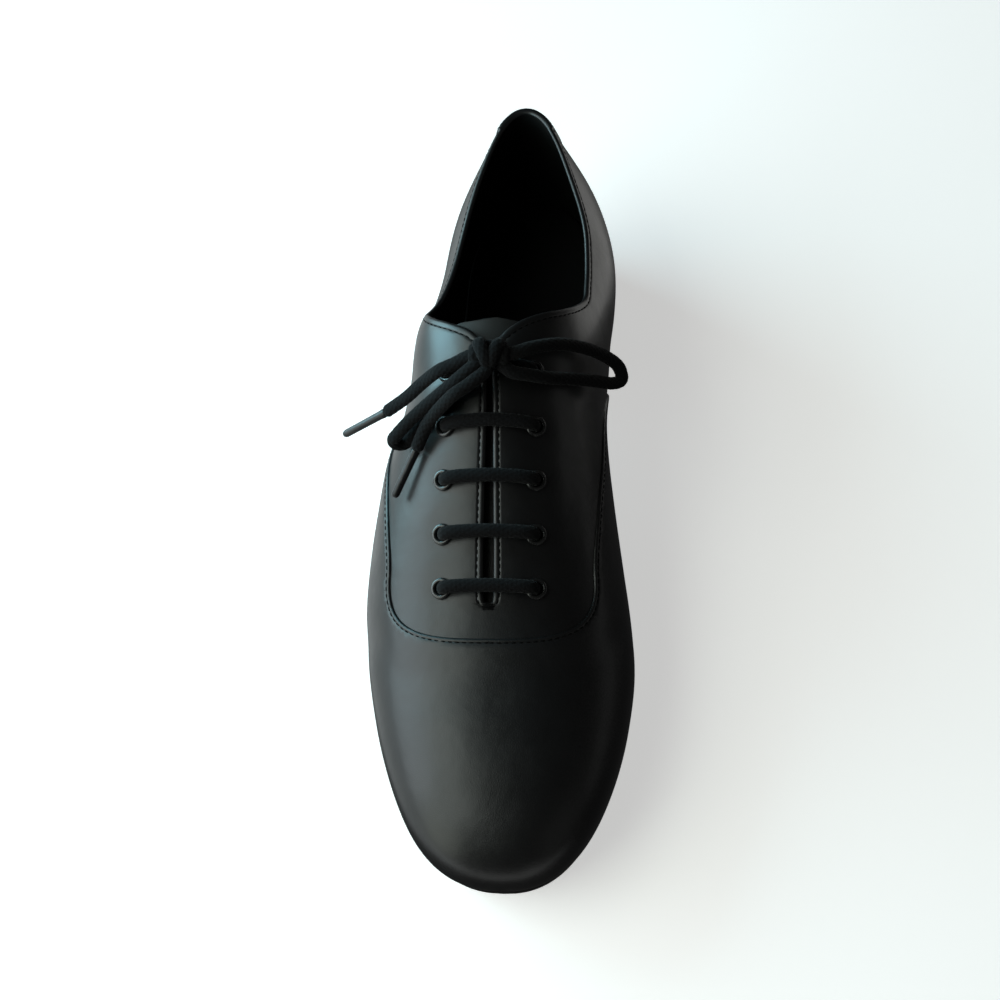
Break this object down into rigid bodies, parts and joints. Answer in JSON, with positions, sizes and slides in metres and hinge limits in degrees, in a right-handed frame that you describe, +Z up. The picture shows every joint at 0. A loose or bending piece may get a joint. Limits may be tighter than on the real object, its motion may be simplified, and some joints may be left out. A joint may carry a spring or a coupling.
{
  "type": "ballroom dance shoe",
  "caption": "Right-foot men's ballroom dance shoe: plain-toed black leather oxford with straight bar lacing, a tied bow, a thin leather sole and a low heel",
  "frame": {"origin": "centre of the bounding box's bottom, on the floor, measured without the bow", "axes": "+Z up, toe to -Y, heel to +Y, inner (medial) side of the foot to +X"},
  "size_m": [0.1059, 0.2891, 0.1043],
  "materials": {
    "upper_leather": "smooth black leather, satin",
    "tongue_leather": "smooth black leather, matt",
    "sole_leather": "dark sole leather with blackened edge",
    "heel_stack": "stacked leather heel, blackened",
    "top_piece_rubber": "matt rubber",
    "insole_leather": "matt black sock lining",
    "eyelet_metal": "black paint, glossy",
    "lace_cotton": "black braided lace",
    "aglet_plastic": "dark film round the lace's end"
  },
  "bodies": {
    "root": {"upper": "upper_leather", "tongue": "tongue_leather", "outsole": "sole_leather", "heel_block": "heel_stack", "heel_top_piece": "top_piece_rubber", "insole": "insole_leather", "eyelet_lateral_1": "eyelet_metal", "eyelet_lateral_2": "eyelet_metal", "eyelet_lateral_3": "eyelet_metal", "eyelet_lateral_4": "eyelet_metal", "eyelet_lateral_5": "eyelet_metal", "eyelet_medial_1": "eyelet_metal", "eyelet_medial_2": "eyelet_metal", "eyelet_medial_3": "eyelet_metal", "eyelet_medial_4": "eyelet_metal", "eyelet_medial_5": "eyelet_metal", "lace_bar_1": "lace_cotton", "lace_bar_2": "lace_cotton", "lace_bar_3": "lace_cotton", "lace_bar_4": "lace_cotton", "lace_bar_5": "lace_cotton", "lace_knot": "lace_cotton", "lace_loop_lateral": "lace_cotton", "lace_loop_medial": "lace_cotton", "lace_end_outer": "lace_cotton", "lace_end_inner": "lace_cotton", "aglet_outer": "aglet_plastic", "aglet_inner": "aglet_plastic"}
  },
  "joints": []
}
